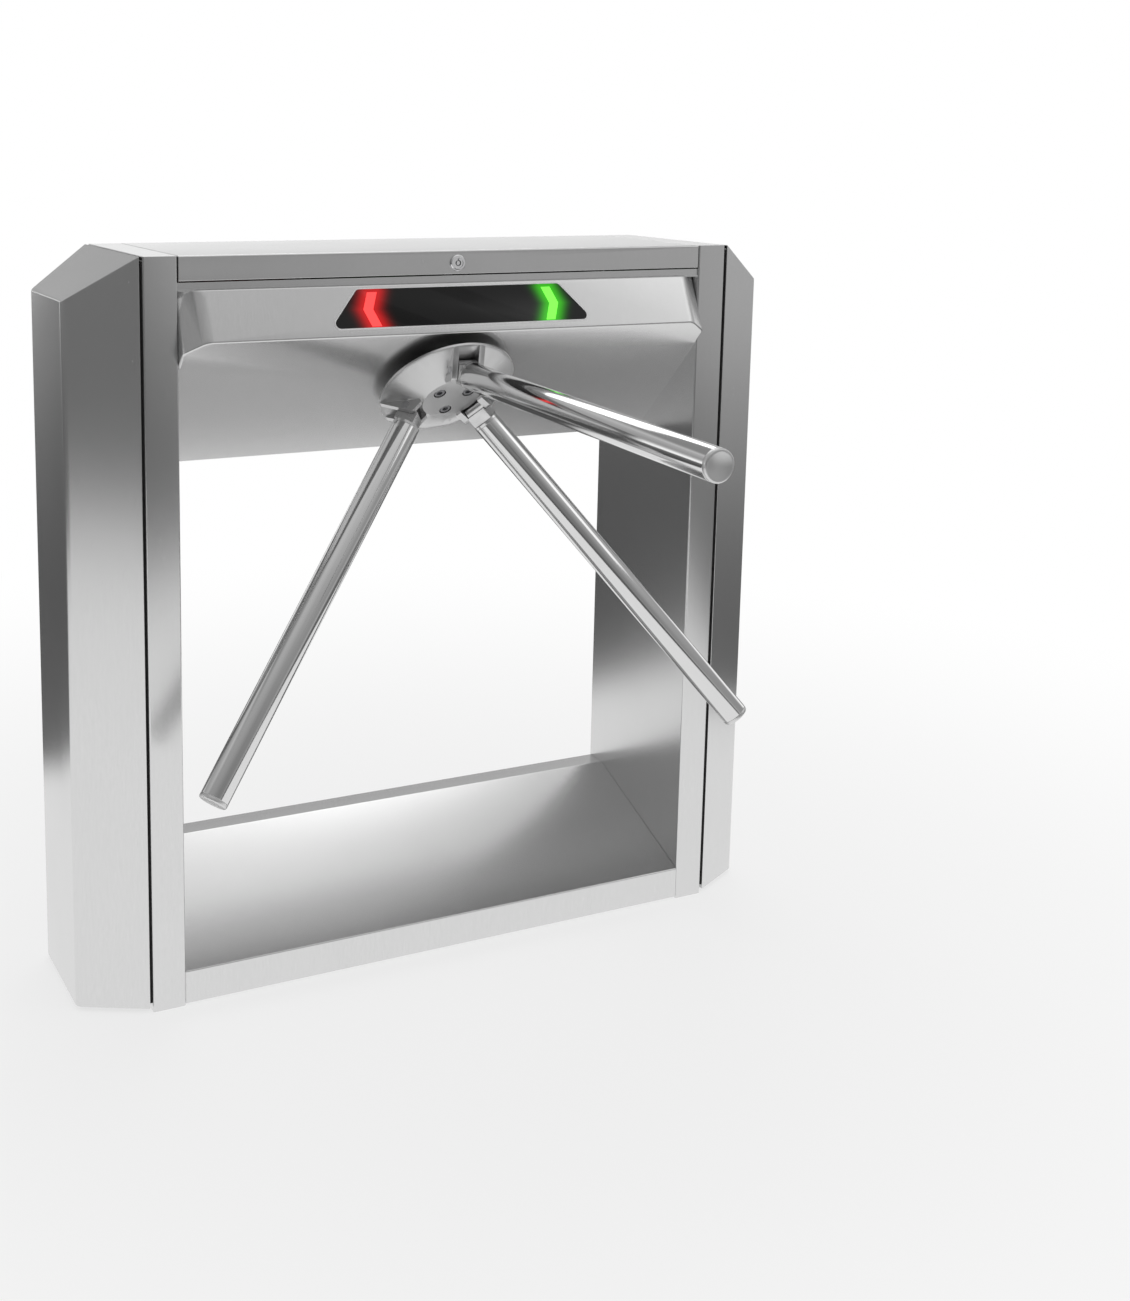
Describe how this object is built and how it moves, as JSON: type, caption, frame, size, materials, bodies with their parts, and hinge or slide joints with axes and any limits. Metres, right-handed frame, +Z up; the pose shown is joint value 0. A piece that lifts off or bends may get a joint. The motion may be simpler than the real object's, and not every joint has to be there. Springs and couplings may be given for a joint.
{
  "type": "visitor counter turnstile",
  "caption": "Box-shaped tripod turnstile of brushed stainless steel with a tilted turning hub, folding barrier arms and a lit direction display.",
  "frame": {"origin": "centre of the four floor anchor holes, on the floor", "axes": "+X along the housing to the green-arrow end, -Y out of the front where the arms reach, +Z up"},
  "size_m": [1.052, 0.8714, 1],
  "materials": {
    "brushed_steel": "upright hairline grain, satin",
    "polished_tube": "mirror polished stainless",
    "cast_hub": "fine blasted, satin",
    "machined_steel": "turned and oiled",
    "zinc_steel": "dull zinc plating",
    "seal_rubber": "matte black",
    "display_glass": "smoked gloss black",
    "lamp_red": "lit red arrow",
    "lamp_green": "lit green arrow",
    "circuit_board": "green solder mask",
    "black_plastic": "matte black",
    "brass": "plain",
    "lock_chrome": "polished"
  },
  "bodies": {
    "housing": {"post_frame_left": "brushed_steel", "post_frame_right": "brushed_steel", "end_cover_left": "brushed_steel", "end_cover_right": "brushed_steel", "base_plate_left": "zinc_steel", "base_plate_right": "zinc_steel", "seam_seals_left": "seal_rubber", "seam_seals_right": "seal_rubber", "front_shell": "brushed_steel", "rear_panel": "brushed_steel", "trough_cover": "brushed_steel", "display_glass": "display_glass", "arrow_lens_red": "lamp_red", "arrow_lens_green": "lamp_green", "display_board": "circuit_board", "display_spacers": "brass", "hinge_fixed_leaf": "zinc_steel", "hinge_pin": "zinc_steel", "lock_striker": "zinc_steel", "mechanism_plate": "machined_steel", "bearing_housing": "cast_hub", "shaft_bearings": "machined_steel", "detent_post": "machined_steel", "encoder_body": "black_plastic", "control_board": "circuit_board", "board_parts": "black_plastic", "board_spacers": "brass", "power_supply": "zinc_steel"},
    "lid": {"lid": "brushed_steel", "hinge_moving_leaf": "zinc_steel", "lock_barrel": "lock_chrome", "lock_nut": "zinc_steel"},
    "lock": {"lock_plug": "lock_chrome", "lock_cam": "zinc_steel"},
    "hub": {"hub_body": "cast_hub", "hub_screws": "machined_steel", "main_shaft": "machined_steel", "index_cam": "machined_steel", "shaft_gear": "machined_steel", "arm_a_pin": "machined_steel", "arm_b_pin": "machined_steel", "arm_c_pin": "machined_steel"},
    "arm_a": {"arm_a_root": "cast_hub", "arm_a_tube": "polished_tube", "arm_a_cap": "polished_tube"},
    "arm_b": {"arm_b_root": "cast_hub", "arm_b_tube": "polished_tube", "arm_b_cap": "polished_tube"},
    "arm_c": {"arm_c_root": "cast_hub", "arm_c_tube": "polished_tube", "arm_c_cap": "polished_tube"},
    "detent_arm": {"detent_lever": "machined_steel", "roller_pin": "machined_steel"},
    "roller": {"detent_roller": "machined_steel"},
    "encoder": {"encoder_pinion": "machined_steel", "encoder_shaft": "machined_steel"}
  },
  "joints": [
    {"name": "hub_spin", "type": "hinge", "parent": "housing", "child": "hub", "pos_m": [0, -0.0915, 0.8215], "axis": [0, -0.7071, -0.7071], "continuous": true},
    {"name": "arm_a_fold", "type": "hinge", "parent": "hub", "child": "arm_a", "pos_m": [0, -0.1584, 0.84182], "axis": [1, 0, 0], "range_deg": [0, 43]},
    {"name": "arm_b_fold", "type": "hinge", "parent": "hub", "child": "arm_b", "pos_m": [-0.05341, -0.09299, 0.7764], "axis": [-0.5, -0.6124, 0.6124], "range_deg": [0, 43]},
    {"name": "arm_c_fold", "type": "hinge", "parent": "hub", "child": "arm_c", "pos_m": [0.05341, -0.09299, 0.7764], "axis": [-0.5, 0.6124, -0.6124], "range_deg": [0, 43]},
    {"name": "lid_hinge", "type": "hinge", "parent": "housing", "child": "lid", "pos_m": [0, 0.124, 0.9925], "axis": [-1, 0, 0], "range_deg": [0, 75]},
    {"name": "lock_turn", "type": "hinge", "parent": "lid", "child": "lock", "pos_m": [0, -0.12, 0.983], "axis": [0, -1, 0], "range_deg": [0, 90]},
    {"name": "detent_swing", "type": "hinge", "parent": "housing", "child": "detent_arm", "pos_m": [-0.072, -0.05968, 0.88443], "axis": [0, 0.7071, 0.7071], "range_deg": [0, 8], "stiffness_Nm_per_rad": 3, "springref_deg": -6.88},
    {"name": "roller_spin", "type": "hinge", "parent": "detent_arm", "child": "roller", "pos_m": [-0.03689, -0.02058, 0.8623], "axis": [0, -0.7071, -0.7071], "continuous": true},
    {"name": "encoder_spin", "type": "hinge", "parent": "housing", "child": "encoder", "pos_m": [0.06415, -0.02362, 0.88938], "axis": [0, -0.7071, -0.7071], "continuous": true}
  ],
  "couplings": [
    {"joint": "encoder_spin", "follows": "hub_spin", "ratio": -3}
  ]
}
